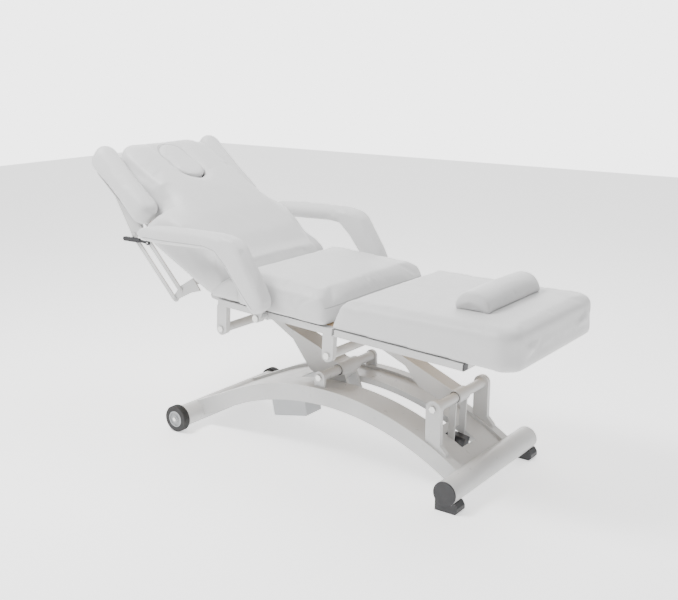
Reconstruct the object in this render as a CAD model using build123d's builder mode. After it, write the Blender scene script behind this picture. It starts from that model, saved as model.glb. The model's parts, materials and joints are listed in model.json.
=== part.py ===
"""Electric facial treatment bed: arched base, parallelogram lift, reclining back, leg rest.

Frame: +X runs from the head end to the foot end, +Y to the person's left, +Z up.
The origin is on the floor, at the middle of the bed's length and width.
All sizes are in millimetres.
"""

from build123d import *
import os
from math import asin, atan2, cos, degrees, hypot, radians, sin

os.makedirs("parts", exist_ok=True)

# ---------------------------------------------------------------- driving dimensions
AXLE_X = -550.28                 # rear wheel axle; lengths along the base are from here

# base
TUBE_R = 44.5                    # big cross tubes at both ends of the base
WHEEL_R = 55.0
WHEEL_W = 32.0
WHEEL_INNER_Y = 290.0
HUB_R = 33.0
AXLE_BOLT_R = 6.0
FOOT_X = AXLE_X + 1266.0
FOOT_Z = 68.0
FOOT_HALF = 312.0
ARCH_X = AXLE_X + 650.0          # centre of the arch's circle
ARCH_Z = -801.0
ARCH_R = 1085.0                  # top of the side beams
BEAM_H = 65.0
BEAM_IN = 155.0                  # inner face of a side beam, from the middle
BEAM_OUT = 195.0
REAR_ANGLE = 24.0                # where the arch turns into the straight rear ramp
RAMP_LENGTH = 235.0
FOOT_ANGLE = 35.0
DECK_DROP = 12.0                 # deck plate below the beams' top edge
DECK_T = 4.0
SLOT_HALF = 50.0                 # long slot in the deck for the lift arm and its motor
SLOT_REAR_X = AXLE_X + 445.0
SLOT_FOOT_X = AXLE_X + 1185.0

# lift: two equal parallel arms between four cross tubes
PIVOT_A = Vector(AXLE_X + 635.0, 0, 321.0)
PIVOT_B = Vector(AXLE_X + 1139.0, 0, 306.0)
PIVOT_C = Vector(AXLE_X + 280.0, 0, 489.0)
PIVOT_D = PIVOT_C + (PIVOT_B - PIVOT_A)
LOW_TUBE_R = 19.0
HIGH_TUBE_R = 17.0
BUSH_T = 2.5
RUN = 0.05                       # radial running clearance of a pin in its hole
FIT = 0.1                        # radial clearance of a bolt in its hole
LOW_SLEEVE_R = 27.0
HIGH_SLEEVE_R = 25.0
ARM_HALF = 43.0                  # half the width of the rear box arm
FRONT_HALF = 34.0                # half the width of the front one, between the hangers
ARM_WALL = 6.0
LUG_IN = 168.0
LUG_OUT = 180.0
LUG_W = 48.0
POST_IN = 166.0
POST_OUT = 186.0
POST_W = 60.0
BOLT_R = 8.0
BOLT_HEAD_R = 13.0
BOLT_HEAD_T = 8.0

# upper frame, built on its own axes: u towards the foot, w up, both tilted nose down
TILT = 3.2
RAIL_IN = 300.0
RAIL_OUT = 330.0
RAIL_LOW = 91.0
RAIL_TOP = 115.0
RAIL_WALL = 2.5
CUSHION_HALF = 341.0
CUSHION_LOW = 115.3
SEAT_FRONT = 494.0
LEG_HINGE_U = 508.0
LEG_HINGE_W = 103.0
LEG_RAIL_START = 530.0
LEG_RAIL_END = 1045.0
LEG_FOOT = 1226.0
PIN_R = 5.0

# back rest, built on its own axes from its hinge: t up the back, n out of its front
BACK_ANGLE = 28.2
BACK_HINGE = Vector(AXLE_X + 215.0, 0, 606.0)
BACK_PIN_R = 7.0
HEAD_BEND = 12.5                 # the head part leans forward from the lower back
BEND_T = 395.0
BACK_HALF = 338.0
HEAD_HALF = 251.0
BARREL_R = 150.0                 # the back's lower end turns inside the seat's hollow
BARREL_GAP = 0.8
BOARD_T = 12.0

# side head pads and their linkage
LINK_LOW = Vector(AXLE_X + 12.0, 0, 564.0)
LINK_HIGH = Vector(AXLE_X + 46.0, 0, 604.0)
LINK_REACH = Vector(-218.0, 0, 233.0)
PLATE_IN = 297.0
PLATE_OUT = 303.0
LINK_IN = 304.5
LINK_OUT = 310.5
PAD_ANGLE = 41.0
PAD_LENGTH = 380.0
PAD_IN = 256.0
PAD_OUT = 354.0
PAD_T = 100.0

# arm rests
REST_IN = 358.0
REST_OUT = 424.0
REST_PIVOT = Vector(AXLE_X + 505.0, 0, 579.0)

# motors
LIFT_TRUNNION = Vector(AXLE_X + 1132.0, 0, 135.0)
LIFT_PIN = Vector(AXLE_X + 657.0, 0, 213.0)
MOTOR_PIN_R = 6.0
PIN_GAP = 1.8                    # slack of a motor pin in its slotted crank


# ---------------------------------------------------------------- helpers
def save(builder, name):
    """Label a finished piece and write it."""
    builder.part.label = name
    export_step(builder.part, f"parts/{name}.step")


def side_plane(y, origin=(0, 0, 0), angle=0.0):
    """A plane seen from -Y whose x runs towards the foot and y up, turned nose up by angle."""
    turn = radians(angle)
    return Plane(origin=(origin[0], y, origin[2]), x_dir=(cos(turn), 0, sin(turn)), z_dir=(0, -1, 0))


def seat_plane(y):
    """Side plane of the upper frame: x is u, y is w."""
    return side_plane(y, (PIVOT_C.X, 0, PIVOT_C.Z), -TILT)


def back_plane(y):
    """Side plane of the back rest: x runs up the back, y out of its front face."""
    turn = radians(BACK_ANGLE)
    return Plane(origin=(BACK_HINGE.X, y, BACK_HINGE.Z), x_dir=(-cos(turn), 0, sin(turn)), z_dir=(0, 1, 0))


def at(point):
    """The x and z of a point as a sketch position on an upright side plane."""
    return (point.X, point.Z)


def base_at(x, z):
    """A sketch position measured along the base from the rear axle."""
    return (AXLE_X + x, z)


def seat_uw(point):
    """A point of the bed on the upper frame's axes."""
    turn = radians(TILT)
    dx = point.X - PIVOT_C.X
    dz = point.Z - PIVOT_C.Z
    return (dx * cos(turn) - dz * sin(turn), dx * sin(turn) + dz * cos(turn))


def seat_point(u, w, y=0.0):
    """A point of the upper frame in the bed's own frame."""
    turn = radians(TILT)
    return Vector(PIVOT_C.X + u * cos(turn) + w * sin(turn), y, PIVOT_C.Z - u * sin(turn) + w * cos(turn))


def back_tn(point):
    """A point of the bed on the back rest's axes."""
    turn = radians(BACK_ANGLE)
    dx = point.X - BACK_HINGE.X
    dz = point.Z - BACK_HINGE.Z
    return (-dx * cos(turn) + dz * sin(turn), dx * sin(turn) + dz * cos(turn))


def back_point(t, n, y=0.0):
    """A point of the back rest in the bed's own frame."""
    turn = radians(BACK_ANGLE)
    return Vector(BACK_HINGE.X - t * cos(turn) + n * sin(turn), y, BACK_HINGE.Z + t * sin(turn) + n * cos(turn))


def arch_point(angle, radius):
    """A point of the arch at an angle from its crown, towards the foot."""
    turn = radians(angle)
    return (ARCH_X + radius * sin(turn), ARCH_Z + radius * cos(turn))


def arch_angle(x, radius):
    return degrees(asin((x - ARCH_X) / radius))


def arch_band(outer, inner, rear, foot):
    """Side profile of a band of the arch between two angles, on the sketch in hand."""
    with BuildLine() as outline:
        top_rear = arch_point(rear, outer)
        top_foot = arch_point(foot, outer)
        low_foot = arch_point(foot, inner)
        low_rear = arch_point(rear, inner)
        middle = (rear + foot) / 2
        ThreePointArc(top_rear, arch_point(middle, outer), top_foot)
        Line(top_foot, low_foot)
        ThreePointArc(low_foot, arch_point(middle, inner), low_rear)
        Line(low_rear, top_rear)
    make_face(outline.edges())


def ramp_band(outer, inner, length):
    """The straight rear run of the base, tangent to the arch."""
    turn = radians(REAR_ANGLE)
    top = arch_point(-REAR_ANGLE, outer)
    low = arch_point(-REAR_ANGLE, inner)
    step = (-length * cos(turn), -length * sin(turn))
    with BuildLine() as outline:
        Polyline(top, (top[0] + step[0], top[1] + step[1]),
                 (low[0] + step[0], low[1] + step[1]), low, close=True)
    make_face(outline.edges())


def rod(radius, y_from, y_to, centre, plane=side_plane, mode=Mode.ADD):
    """A round bar along Y between two distances from the middle plane."""
    with BuildSketch(plane((y_from + y_to) / 2)) as profile:
        with Locations(centre):
            Circle(radius)
    extrude(profile.sketch, amount=(y_to - y_from) / 2, both=True, mode=mode)


def bore(radius, y_from, y_to, centre, plane=side_plane):
    """A round hole along Y, cut from the part in hand."""
    rod(radius, y_from, y_to, centre, plane, Mode.SUBTRACT)


def slab(points, y_from, y_to, plane=side_plane, mode=Mode.ADD):
    """A flat plate with a polygon outline, between two distances from the middle plane."""
    with BuildSketch(plane((y_from + y_to) / 2)) as profile:
        with BuildLine() as outline:
            Polyline(*points, close=True)
        make_face(outline.edges())
    extrude(profile.sketch, amount=(y_to - y_from) / 2, both=True, mode=mode)


def bar(start, end, radius, y_from, y_to, plane=side_plane):
    """A flat link with rounded ends between two pin positions."""
    middle = ((start[0] + end[0]) / 2, (start[1] + end[1]) / 2)
    length = hypot(end[0] - start[0], end[1] - start[1])
    turn = degrees(atan2(end[1] - start[1], end[0] - start[0]))
    with BuildSketch(plane((y_from + y_to) / 2)) as profile:
        with Locations(middle):
            SlotCenterToCenter(length, 2 * radius, rotation=turn)
    extrude(profile.sketch, amount=(y_to - y_from) / 2, both=True)


def cushion(points, half, corner_r, plane):
    """An upholstered block: rounded side profile carried across the bed."""
    with BuildSketch(plane(0)) as profile:
        with BuildLine() as outline:
            Polyline(*points, close=True)
        make_face(outline.edges())
        fillet(profile.vertices(), corner_r)
    extrude(profile.sketch, amount=half, both=True)


def hex_bolt(centre, y_face, shank_end, head_r=BOLT_HEAD_R, head_t=BOLT_HEAD_T, shank_r=BOLT_R,
             plane=side_plane):
    """A bolt along Y: hexagon head outside y_face, shank inwards to shank_end."""
    with BuildSketch(plane(y_face + head_t / 2)) as head:
        with Locations(centre):
            RegularPolygon(radius=head_r, side_count=6)
    extrude(head.sketch, amount=head_t / 2, both=True)
    rod(shank_r, shank_end, y_face, centre, plane)


REAR_AXLE = base_at(0, WHEEL_R)
FOOT_AXIS = base_at(FOOT_X - AXLE_X, FOOT_Z)
A = at(PIVOT_A)
B = at(PIVOT_B)
C = at(PIVOT_C)
D = at(PIVOT_D)
C_UW = (0.0, 0.0)
D_UW = seat_uw(PIVOT_D)

# ---------------------------------------------------------------- base
with BuildPart() as side_beams:
    with BuildSketch(side_plane(BEAM_OUT)):
        arch_band(ARCH_R, ARCH_R - BEAM_H, -REAR_ANGLE, FOOT_ANGLE)
        ramp_band(ARCH_R, ARCH_R - BEAM_H, RAMP_LENGTH)
    extrude(amount=BEAM_OUT - BEAM_IN)
    bore(TUBE_R, BEAM_IN - 1, BEAM_OUT + 1, REAR_AXLE)
    bore(TUBE_R, BEAM_IN - 1, BEAM_OUT + 1, FOOT_AXIS)
    mirror(about=Plane.XZ)
save(side_beams, "side_beams")

DECK_R = ARCH_R - DECK_DROP
slot_rear = arch_angle(SLOT_REAR_X, DECK_R)
slot_foot = arch_angle(SLOT_FOOT_X, DECK_R)

with BuildPart() as rear_deck_plate:
    with BuildSketch(side_plane(0)):
        arch_band(DECK_R, DECK_R - DECK_T, -REAR_ANGLE, slot_rear)
        ramp_band(DECK_R, DECK_R - DECK_T, RAMP_LENGTH - TUBE_R / 2)
    extrude(amount=BEAM_IN, both=True)
    bore(TUBE_R, -BEAM_IN - 1, BEAM_IN + 1, REAR_AXLE)
save(rear_deck_plate, "rear_deck_plate")

LIP_H = 24.0
bridge_rear = arch_angle(AXLE_X + 1082.0, DECK_R)
bridge_foot = arch_angle(AXLE_X + 1112.0, DECK_R)
with BuildPart() as deck_strips:
    with BuildSketch(side_plane((BEAM_IN + SLOT_HALF) / 2)):
        arch_band(DECK_R, DECK_R - DECK_T, slot_rear, slot_foot)
    extrude(amount=(BEAM_IN - SLOT_HALF) / 2, both=True)
    # turned-down lip along the slot
    with BuildSketch(side_plane(SLOT_HALF + DECK_T / 2)):
        arch_band(DECK_R - DECK_T, DECK_R - LIP_H, slot_rear, slot_foot)
    extrude(amount=DECK_T / 2, both=True)
    mirror(about=Plane.XZ)
    # bridge between the slot and the opening for the lift motor's tail
    with BuildSketch(side_plane(0)):
        arch_band(DECK_R, DECK_R - DECK_T, bridge_rear, bridge_foot)
    extrude(amount=SLOT_HALF, both=True)
save(deck_strips, "deck_strips")

with BuildPart() as foot_deck_plate:
    with BuildSketch(side_plane(0)):
        arch_band(DECK_R, DECK_R - DECK_T, slot_foot, FOOT_ANGLE)
    extrude(amount=BEAM_IN, both=True)
    bore(TUBE_R, -BEAM_IN - 1, BEAM_IN + 1, FOOT_AXIS)
save(foot_deck_plate, "foot_deck_plate")

TUBE_WALL = 3.0
REAR_TUBE_HALF = 287.0
with BuildPart() as rear_cross_tube:
    rod(TUBE_R, -REAR_TUBE_HALF, REAR_TUBE_HALF, REAR_AXLE)
    bore(TUBE_R - TUBE_WALL, -REAR_TUBE_HALF + 12, REAR_TUBE_HALF + 1, REAR_AXLE)
    rod(TUBE_R - TUBE_WALL, REAR_TUBE_HALF - 12, REAR_TUBE_HALF, REAR_AXLE)
    bore(AXLE_BOLT_R + FIT, -REAR_TUBE_HALF - 1, REAR_TUBE_HALF + 1, REAR_AXLE)
save(rear_cross_tube, "rear_cross_tube")

with BuildPart() as foot_cross_tube:
    rod(TUBE_R, -FOOT_HALF, FOOT_HALF, FOOT_AXIS)
    bore(TUBE_R - TUBE_WALL, -FOOT_HALF - 1, FOOT_HALF + 1, FOOT_AXIS)
save(foot_cross_tube, "foot_cross_tube")

CAP_T = 5.0
CAP_PLUG = 18.0
with BuildPart() as foot_end_caps:
    rod(TUBE_R - 0.5, FOOT_HALF, FOOT_HALF + CAP_T, FOOT_AXIS)
    fillet(foot_end_caps.faces().sort_by(Axis.Y)[-1].edges(), 2.0)
    rod(TUBE_R - TUBE_WALL, FOOT_HALF - CAP_PLUG, FOOT_HALF, FOOT_AXIS)
    mirror(about=Plane.XZ)
save(foot_end_caps, "foot_end_caps")

PAD_BACK = 38.0
PAD_TOE = 50.0
PAD_TOP = 40.0
FOOT_PAD_W = 54.0
with BuildPart() as foot_pads:
    slab([(FOOT_X - PAD_BACK, 0), (FOOT_X + PAD_TOE - 8, 0), (FOOT_X + PAD_TOE, 8),
          (FOOT_X + PAD_TOE, 24), (FOOT_X + PAD_TOE - 10, PAD_TOP), (FOOT_X - PAD_BACK, PAD_TOP)],
         FOOT_HALF - FOOT_PAD_W, FOOT_HALF)
    bore(TUBE_R, FOOT_HALF - FOOT_PAD_W - 1, FOOT_HALF + 1, FOOT_AXIS)
    mirror(about=Plane.XZ)
save(foot_pads, "foot_pads")


def above_arch(y_from, y_to):
    """Trim the part in hand to what stands on top of the side beams."""
    bore(ARCH_R, y_from - 1, y_to + 1, (ARCH_X, ARCH_Z))


with BuildPart() as rear_pivot_lugs:
    rod(LUG_W / 2, LUG_IN, LUG_OUT, A)
    slab([(PIVOT_A.X - LUG_W / 2, PIVOT_A.Z), (PIVOT_A.X + LUG_W / 2, PIVOT_A.Z),
          (PIVOT_A.X + LUG_W / 2, PIVOT_A.Z - 2 * LUG_W), (PIVOT_A.X - LUG_W / 2, PIVOT_A.Z - 2 * LUG_W)],
         LUG_IN, LUG_OUT)
    bore(BOLT_R + FIT, LUG_IN - 1, LUG_OUT + 1, A)
    above_arch(LUG_IN, LUG_OUT)
    mirror(about=Plane.XZ)
save(rear_pivot_lugs, "rear_pivot_lugs")

POST_TOE = 26.0
with BuildPart() as front_pivot_posts:
    rod(POST_W / 2, POST_IN, POST_OUT, B)
    slab([(PIVOT_B.X - POST_W / 2, PIVOT_B.Z), (PIVOT_B.X + POST_W / 2, PIVOT_B.Z),
          (PIVOT_B.X + POST_W / 2, PIVOT_B.Z - 200), (PIVOT_B.X - POST_W / 2, PIVOT_B.Z - 200)],
         POST_IN, POST_OUT)
    # a small screwed foot at the post's lower front corner
    slab([(PIVOT_B.X, 120), (PIVOT_B.X + POST_W / 2 + POST_TOE, 120),
          (PIVOT_B.X + POST_W / 2 + POST_TOE, 148), (PIVOT_B.X + POST_W / 2, 176),
          (PIVOT_B.X, 176)], POST_IN, POST_OUT)
    bore(BOLT_R + FIT, POST_IN - 1, POST_OUT + 1, B)
    above_arch(POST_IN, POST_OUT)
    mirror(about=Plane.XZ)
save(front_pivot_posts, "front_pivot_posts")

with BuildPart() as rear_pivot_tube:
    rod(LOW_TUBE_R, -LUG_IN, LUG_IN, A)
    bore(BOLT_R + FIT, -LUG_IN - 1, LUG_IN + 1, A)
save(rear_pivot_tube, "rear_pivot_tube")

# the front tube carries two hanger bars that hold the lift motor by its trunnion pins
HANGER_IN = 36.0
HANGER_OUT = 43.0
HANGER_W = 26.0
with BuildPart() as front_pivot_tube:
    rod(LOW_TUBE_R, -POST_IN, POST_IN, B)
    for y_low in (HANGER_IN, -HANGER_OUT):
        slab([(PIVOT_B.X - HANGER_W / 2, PIVOT_B.Z), (PIVOT_B.X + HANGER_W / 2, PIVOT_B.Z),
              (LIFT_TRUNNION.X + HANGER_W / 2, LIFT_TRUNNION.Z),
              (LIFT_TRUNNION.X - HANGER_W / 2, LIFT_TRUNNION.Z)],
             y_low, y_low + HANGER_OUT - HANGER_IN)
        rod(HANGER_W / 2, y_low, y_low + HANGER_OUT - HANGER_IN, at(LIFT_TRUNNION))
    bore(MOTOR_PIN_R + RUN, -HANGER_OUT - 1, HANGER_OUT + 1, at(LIFT_TRUNNION))
    bore(BOLT_R + FIT, -POST_IN - 1, POST_IN + 1, B)
save(front_pivot_tube, "front_pivot_tube")

SHANK_IN = 40.0
with BuildPart() as base_bolts:
    hex_bolt(A, LUG_OUT, LUG_IN - SHANK_IN)
    hex_bolt(B, POST_OUT, POST_IN - SHANK_IN)
    mirror(about=Plane.XZ)
save(base_bolts, "base_bolts")

with BuildPart() as axle_bolts:
    hex_bolt(REAR_AXLE, WHEEL_INNER_Y + WHEEL_W + 0.5, REAR_TUBE_HALF - 12, 9.0, 5.0, AXLE_BOLT_R)
    rod(12.0, REAR_TUBE_HALF, WHEEL_INNER_Y - 0.5, REAR_AXLE)
    mirror(about=Plane.XZ)
save(axle_bolts, "axle_bolts")

# control box slung under the rear deck, square to the arch there
BOX_ANGLE = 11.0
BOX_TOP = DECK_R - DECK_T
BOX_DEPTH = 116.0
BOX_HALF = 84.0
BOX_Y_FROM = -150.0
BOX_Y_TO = -58.0


def box_corner(along, down):
    """A corner of the control box in side view, measured from its seat under the deck."""
    turn = radians(BOX_ANGLE)
    seat_x = ARCH_X - (BOX_TOP - 12) * sin(turn)
    seat_z = ARCH_Z + (BOX_TOP - 12) * cos(turn)
    return (seat_x + along * cos(turn) + down * sin(turn), seat_z + along * sin(turn) - down * cos(turn))


with BuildPart() as control_box:
    slab([box_corner(-BOX_HALF, 0), box_corner(BOX_HALF, 0), box_corner(BOX_HALF, BOX_DEPTH),
          box_corner(-BOX_HALF, BOX_DEPTH)], BOX_Y_FROM, BOX_Y_TO)
    fillet(control_box.edges().filter_by(Axis.Y), 6.0)
save(control_box, "control_box")

INLET_H = 26.0
INLET_T = 8.0
INLET_DOWN = 40.0
INLET_SIDE = 30.0
with BuildPart() as power_inlet:
    slab([box_corner(-BOX_HALF - INLET_T, INLET_DOWN), box_corner(-BOX_HALF, INLET_DOWN),
          box_corner(-BOX_HALF, INLET_DOWN + INLET_H), box_corner(-BOX_HALF - INLET_T, INLET_DOWN + INLET_H)],
         BOX_Y_FROM + INLET_SIDE, BOX_Y_TO - INLET_SIDE)
save(power_inlet, "power_inlet")

# ---------------------------------------------------------------- wheels
TREAD_RIBS = 40
TREAD_D = 1.5
WHEEL_OUT_Y = WHEEL_INNER_Y + WHEEL_W
for side, label in ((1, "left"), (-1, "right")):
    middle_y = side * (WHEEL_INNER_Y + WHEEL_W / 2)
    wheel_plane = Plane(origin=(AXLE_X, middle_y, WHEEL_R), x_dir=(1, 0, 0), z_dir=(0, -1, 0))
    with BuildPart() as tyre:
        with BuildSketch(wheel_plane):
            Circle(WHEEL_R)
            Circle(HUB_R, mode=Mode.SUBTRACT)
        extrude(amount=WHEEL_W / 2, both=True)
        fillet(tyre.edges().filter_by(GeomType.CIRCLE).sort_by(SortBy.LENGTH)[-2:], 4.0)
        with BuildSketch(wheel_plane):
            with PolarLocations(WHEEL_R, TREAD_RIBS):
                Rectangle(2 * TREAD_D, 2.5)
        extrude(amount=WHEEL_W / 2 - 5, both=True, mode=Mode.SUBTRACT)
    save(tyre, f"wheel_tyre_{label}")
    with BuildPart() as hub:
        with BuildSketch(wheel_plane):
            Circle(HUB_R)
        extrude(amount=WHEEL_W / 2, both=True)
        with BuildSketch(wheel_plane.offset(WHEEL_W / 2)):
            Circle(HUB_R - 4)
            Circle(AXLE_BOLT_R + 8, mode=Mode.SUBTRACT)
        extrude(amount=-5, mode=Mode.SUBTRACT)
        with BuildSketch(wheel_plane.offset(-WHEEL_W / 2)):
            Circle(HUB_R - 4)
            Circle(AXLE_BOLT_R + 8, mode=Mode.SUBTRACT)
        extrude(amount=5, mode=Mode.SUBTRACT)
        with BuildSketch(wheel_plane):
            Circle(AXLE_BOLT_R + RUN)
        extrude(amount=WHEEL_W, both=True, mode=Mode.SUBTRACT)
    save(hub, f"wheel_hub_{label}")

# ---------------------------------------------------------------- lift arms
LOW_SLEEVE_HALF = 60.0
HIGH_SLEEVE_HALF = 60.0
CRANK_CHEEK = 30.0


def slotted(centre, pivot, inward, outward, y_from, y_to, plane):
    """A slot for a motor pin, along the line from the pivot, cut from the part in hand."""
    turn = atan2(centre[1] - pivot[1], centre[0] - pivot[0])
    shift = (outward - inward) / 2
    middle = (centre[0] + shift * cos(turn), centre[1] + shift * sin(turn))
    with BuildSketch(plane((y_from + y_to) / 2)) as profile:
        with Locations(middle):
            SlotCenterToCenter(inward + outward, 2 * (MOTOR_PIN_R + PIN_GAP), rotation=degrees(turn))
    extrude(profile.sketch, amount=(y_to - y_from) / 2, both=True, mode=Mode.SUBTRACT)


with BuildPart() as rear_arm:
    slab([base_at(266, 470), base_at(283, 512), base_at(372, 449), base_at(532, 390), base_at(606, 347),
          base_at(655, 338), base_at(662, 318), base_at(655, 300), base_at(690, 205), base_at(667, 172),
          base_at(640, 184), base_at(600, 240), base_at(524, 270), base_at(484, 293), base_at(400, 402),
          base_at(290, 466)], -ARM_HALF, ARM_HALF)
    # hollow: closed on top, open below
    slab([base_at(300, 485), base_at(374, 440), base_at(528, 383), base_at(590, 347), base_at(630, 300),
          base_at(640, 180), base_at(690, 180), base_at(690, 150), base_at(560, 150), base_at(440, 250),
          base_at(300, 420)], -ARM_HALF + ARM_WALL, ARM_HALF - ARM_WALL, mode=Mode.SUBTRACT)
    slab([base_at(636, 292), base_at(700, 292), base_at(700, 180), base_at(620, 180)],
         -CRANK_CHEEK, CRANK_CHEEK, mode=Mode.SUBTRACT)
    rod(LOW_SLEEVE_R, -LOW_SLEEVE_HALF, LOW_SLEEVE_HALF, A)
    rod(HIGH_SLEEVE_R, -HIGH_SLEEVE_HALF, HIGH_SLEEVE_HALF, C)
    bore(LOW_TUBE_R + BUSH_T, -LOW_SLEEVE_HALF - 1, LOW_SLEEVE_HALF + 1, A)
    bore(HIGH_TUBE_R + BUSH_T, -HIGH_SLEEVE_HALF - 1, HIGH_SLEEVE_HALF + 1, C)
    slotted(at(LIFT_PIN), A, 3.5, 13.5, -ARM_HALF - 1, ARM_HALF + 1, side_plane)
save(rear_arm, "rear_arm")

with BuildPart() as front_arm:
    slab([base_at(760, 462), base_at(764, 488), base_at(784, 502), base_at(800, 498), base_at(913, 422),
          base_at(1124, 333), base_at(1160, 320), base_at(1160, 295), base_at(1139, 280), base_at(1061, 288),
          base_at(986, 317), base_at(926, 386), base_at(784, 447)], -FRONT_HALF, FRONT_HALF)
    slab([base_at(780, 480), base_at(913, 412), base_at(1115, 327), base_at(1100, 240), base_at(1000, 240),
          base_at(900, 360), base_at(780, 400)], -FRONT_HALF + ARM_WALL, FRONT_HALF - ARM_WALL,
         mode=Mode.SUBTRACT)
    rod(LOW_SLEEVE_R, -FRONT_HALF, FRONT_HALF, B)
    rod(HIGH_SLEEVE_R + 2, -HIGH_SLEEVE_HALF, HIGH_SLEEVE_HALF, D)
    bore(LOW_TUBE_R + BUSH_T, -FRONT_HALF - 1, FRONT_HALF + 1, B)
    bore(HIGH_TUBE_R + BUSH_T, -HIGH_SLEEVE_HALF - 1, HIGH_SLEEVE_HALF + 1, D)
save(front_arm, "front_arm")

with BuildPart() as rear_arm_bushes:
    for y_from, y_to in ((-LOW_SLEEVE_HALF, -20), (20, LOW_SLEEVE_HALF)):
        rod(LOW_TUBE_R + BUSH_T, y_from, y_to, A)
        rod(HIGH_TUBE_R + BUSH_T, y_from, y_to, C)
    bore(LOW_TUBE_R + RUN, -LOW_SLEEVE_HALF - 1, LOW_SLEEVE_HALF + 1, A)
    bore(HIGH_TUBE_R + RUN, -LOW_SLEEVE_HALF - 1, LOW_SLEEVE_HALF + 1, C)
save(rear_arm_bushes, "rear_arm_bushes")

with BuildPart() as front_arm_bushes:
    for side in (-1, 1):
        inner = min(side * 12, side * FRONT_HALF)
        outer = max(side * 12, side * FRONT_HALF)
        rod(LOW_TUBE_R + BUSH_T, inner, outer, B)
        rod(HIGH_TUBE_R + BUSH_T, inner, outer, D)
    bore(LOW_TUBE_R + RUN, -LOW_SLEEVE_HALF - 1, LOW_SLEEVE_HALF + 1, B)
    bore(HIGH_TUBE_R + 0.3, -LOW_SLEEVE_HALF - 1, LOW_SLEEVE_HALF + 1, D)
save(front_arm_bushes, "front_arm_bushes")

# ---------------------------------------------------------------- upper frame
BAR_LOW = 79.0
BAR_TOP = 103.0
SEAT_RAIL_START = -20.0
SEAT_RAIL_END = 519.0
EAR_IN = 292.0
EAR_OUT = 299.0
HINGE_UW = seat_uw(BACK_HINGE)
LEG_UW = (LEG_HINGE_U, LEG_HINGE_W)
REST_UW = seat_uw(REST_PIVOT)
STUB_OUT = 356.0
BACK_MOTOR_Y = -100.0
LEG_MOTOR_Y = 100.0
CHEEK_IN = 12.0
CHEEK_OUT = 18.0
BACK_TRUNNION_UW = (417.0, 54.0)
LEG_TRUNNION_UW = (150.0, 50.0)
TRUNNION_IN = 26.0
TRUNNION_OUT = 32.0


def cross_bar(u_from, u_to):
    """A cross bar of the upper frame under its boards."""
    slab([(u_from, BAR_LOW), (u_to, BAR_LOW), (u_to, BAR_TOP), (u_from, BAR_TOP)],
         -RAIL_IN, RAIL_IN, seat_plane)


def rail(u_from, u_to):
    """One square side rail of the upper frame."""
    slab([(u_from, RAIL_LOW), (u_to, RAIL_LOW), (u_to, RAIL_TOP), (u_from, RAIL_TOP)],
         RAIL_IN, RAIL_OUT, seat_plane)


with BuildPart() as seat_rails:
    rail(SEAT_RAIL_START, SEAT_RAIL_END)
    slab([(HINGE_UW[0], HINGE_UW[1] - 13), (SEAT_RAIL_START + 40, RAIL_LOW),
          (SEAT_RAIL_START + 40, BAR_TOP), (HINGE_UW[0] + 12, HINGE_UW[1] - 2)],
         EAR_IN, EAR_OUT, seat_plane)
    rod(13, EAR_IN, EAR_OUT, HINGE_UW, seat_plane)
    slab([(SEAT_RAIL_START + 10, RAIL_LOW), (SEAT_RAIL_START + 40, RAIL_LOW),
          (SEAT_RAIL_START + 40, RAIL_TOP), (SEAT_RAIL_START + 10, RAIL_TOP)],
         EAR_OUT, RAIL_IN, seat_plane)
    bore(BACK_PIN_R + RUN, EAR_IN - 1, EAR_OUT + 1, HINGE_UW, seat_plane)
    rod(12, RAIL_OUT, STUB_OUT, REST_UW, seat_plane)
    bore(BOLT_R, RAIL_IN + 5, STUB_OUT + 1, REST_UW, seat_plane)
    bore(PIN_R + RUN, EAR_OUT - 1, RAIL_OUT + 1, LEG_UW, seat_plane)
    mirror(about=Plane.XZ)
    cross_bar(20, 45)
    cross_bar(140, 165)
    cross_bar(405, 430)
    for centre, middle_y in ((BACK_TRUNNION_UW, BACK_MOTOR_Y), (LEG_TRUNNION_UW, LEG_MOTOR_Y)):
        for side in (-1, 1):
            y_from = middle_y + min(side * TRUNNION_IN, side * TRUNNION_OUT)
            y_to = middle_y + max(side * TRUNNION_IN, side * TRUNNION_OUT)
            slab([(centre[0] - 12, centre[1]), (centre[0] + 12, centre[1]), (centre[0] + 12, BAR_LOW),
                  (centre[0] - 12, BAR_LOW)], y_from, y_to, seat_plane)
            rod(12, y_from, y_to, centre, seat_plane)
            bore(MOTOR_PIN_R + RUN, y_from - 1, y_to + 1, centre, seat_plane)
save(seat_rails, "seat_rails")

SEAT_LUG_W = 24.0
LUG_DEEP = 23.0
LUG_PLATE = 6.0
with BuildPart() as seat_lugs:
    for centre in (C_UW, D_UW):
        u = centre[0]
        reach = centre[1] - SEAT_LUG_W
        slab([(u - SEAT_LUG_W, centre[1]), (u + SEAT_LUG_W, centre[1]), (u + SEAT_LUG_W, RAIL_LOW),
              (u - SEAT_LUG_W, RAIL_LOW)], RAIL_OUT - LUG_DEEP, RAIL_OUT, seat_plane)
        rod(SEAT_LUG_W, RAIL_OUT - LUG_DEEP, RAIL_OUT, centre, seat_plane)
        slab([(u - SEAT_LUG_W + LUG_PLATE, reach - 5), (u + SEAT_LUG_W - LUG_PLATE, reach - 5),
              (u + SEAT_LUG_W - LUG_PLATE, RAIL_LOW + 1), (u - SEAT_LUG_W + LUG_PLATE, RAIL_LOW + 1)],
             RAIL_OUT - LUG_DEEP - 1, RAIL_OUT - LUG_PLATE, seat_plane, Mode.SUBTRACT)
        bore(BOLT_R + FIT, RAIL_OUT - LUG_DEEP - 1, RAIL_OUT + 1, centre, seat_plane)
    mirror(about=Plane.XZ)
save(seat_lugs, "seat_lugs")

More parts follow.
